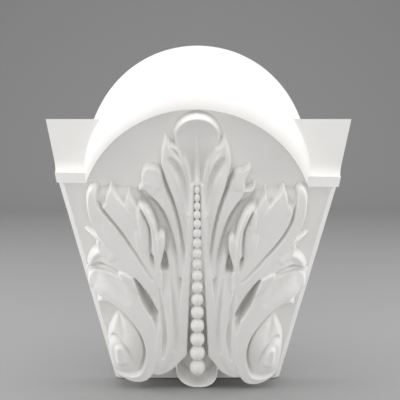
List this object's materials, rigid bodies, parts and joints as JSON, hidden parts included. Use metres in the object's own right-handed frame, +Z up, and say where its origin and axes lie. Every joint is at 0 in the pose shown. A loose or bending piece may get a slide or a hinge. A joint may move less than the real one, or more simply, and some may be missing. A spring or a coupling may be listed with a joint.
{
  "type": "wall corbel",
  "caption": "Wall corbel with a leaning panel, square ears and a rounded arched hood, carved with an acanthus leaf, a string of beads and side volutes.",
  "frame": {"origin": "middle of the flat back, where the corbel meets the wall: on its centre line, halfway between the foot of the panel and the top of the hood", "axes": "+Z up, +X to the viewer's right, +Y out of the back into the wall, so the carved front looks along -Y"},
  "size_m": [0.244, 0.1138, 0.3034],
  "materials": {
    "plaster": "matt white cast plaster, softly rounded edges"
  },
  "bodies": {
    "root": {"corbel": "plaster"}
  },
  "joints": []
}
